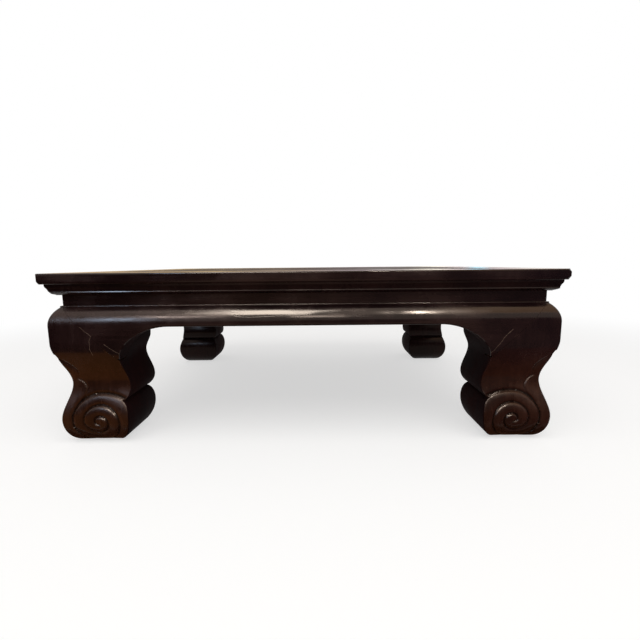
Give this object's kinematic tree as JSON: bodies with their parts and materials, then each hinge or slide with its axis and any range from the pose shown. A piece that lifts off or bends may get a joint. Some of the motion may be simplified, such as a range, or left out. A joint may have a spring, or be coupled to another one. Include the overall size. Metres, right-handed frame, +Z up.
{
  "type": "kang table",
  "caption": "Low waisted table with a framed floating panel top, bulging mitred aprons and double-curved legs on carved scroll feet",
  "frame": {"origin": "On the floor, under the middle of the table top.", "axes": "+X along the length of the table, +Y from the front to the back, +Z up."},
  "size_m": [0.92, 0.755, 0.315],
  "materials": {
    "lacquered_wood": "aged glossy dark brown lacquer over wood, hairline cracks and worn edges",
    "top_lacquer": "aged glossy dark brown lacquer over wide boards, rubbed and scratched by use",
    "bare_wood": "unlacquered timber, darkened by age, with saw and plane marks"
  },
  "bodies": {
    "root": {"frame_rail_front": "lacquered_wood", "frame_rail_back": "lacquered_wood", "frame_rail_left": "lacquered_wood", "frame_rail_right": "lacquered_wood", "panel_board_front": "top_lacquer", "panel_board_middle": "top_lacquer", "panel_board_back": "top_lacquer", "brace_left": "bare_wood", "brace_middle": "bare_wood", "brace_right": "bare_wood", "waist_front": "lacquered_wood", "waist_back": "lacquered_wood", "waist_left": "lacquered_wood", "waist_right": "lacquered_wood", "apron_front": "lacquered_wood", "apron_back": "lacquered_wood", "apron_left": "lacquered_wood", "apron_right": "lacquered_wood", "leg_front_left": "lacquered_wood", "leg_front_right": "lacquered_wood", "leg_back_left": "lacquered_wood", "leg_back_right": "lacquered_wood", "frame_pegs": "bare_wood", "brace_pegs": "bare_wood"}
  },
  "joints": []
}
